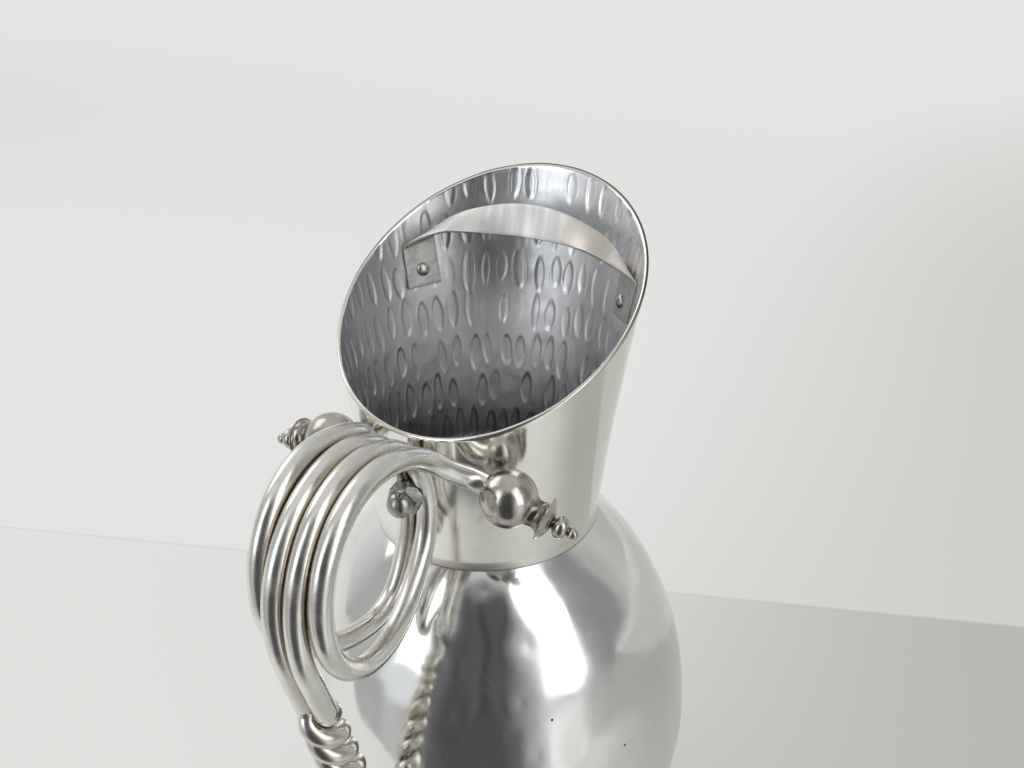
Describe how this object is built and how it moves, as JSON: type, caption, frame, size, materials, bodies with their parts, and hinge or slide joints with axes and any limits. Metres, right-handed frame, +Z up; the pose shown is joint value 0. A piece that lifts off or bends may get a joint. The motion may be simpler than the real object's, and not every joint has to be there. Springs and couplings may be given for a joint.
{
  "type": "water pitcher",
  "caption": "Open water pitcher: globe body, flaring neck with slanted mouth, riveted ice guard, and a twisted and coiled two-rod handle with turned knobs.",
  "frame": {"origin": "centre of the flat base face on the ground plane", "axes": "+Z up along the axis of body and neck, +X towards the spout, -X towards the handle, +Y to the left seen from the handle"},
  "size_m": [0.2209, 0.1706, 0.3001],
  "materials": {
    "polished_aluminium": "polished, hammered inside the neck",
    "rod_aluminium": "polished rod",
    "cast_aluminium": "turned, dulled polish",
    "rivet_aluminium": "dull",
    "bright_steel": "bright plated",
    "sealing_rubber": "matt"
  },
  "bodies": {
    "root": {"body_shell": "polished_aluminium", "neck_sleeve": "polished_aluminium", "ice_guard": "polished_aluminium", "ice_guard_rivets": "rivet_aluminium", "handle_rod_left": "rod_aluminium", "handle_rod_right": "rod_aluminium", "finial_left": "cast_aluminium", "finial_right": "cast_aluminium", "upper_bolt": "bright_steel", "upper_sealing_washer": "sealing_rubber", "upper_acorn_nut": "bright_steel", "lower_bolt": "bright_steel", "lower_sealing_washer": "sealing_rubber", "lower_acorn_nut": "bright_steel"}
  },
  "joints": []
}
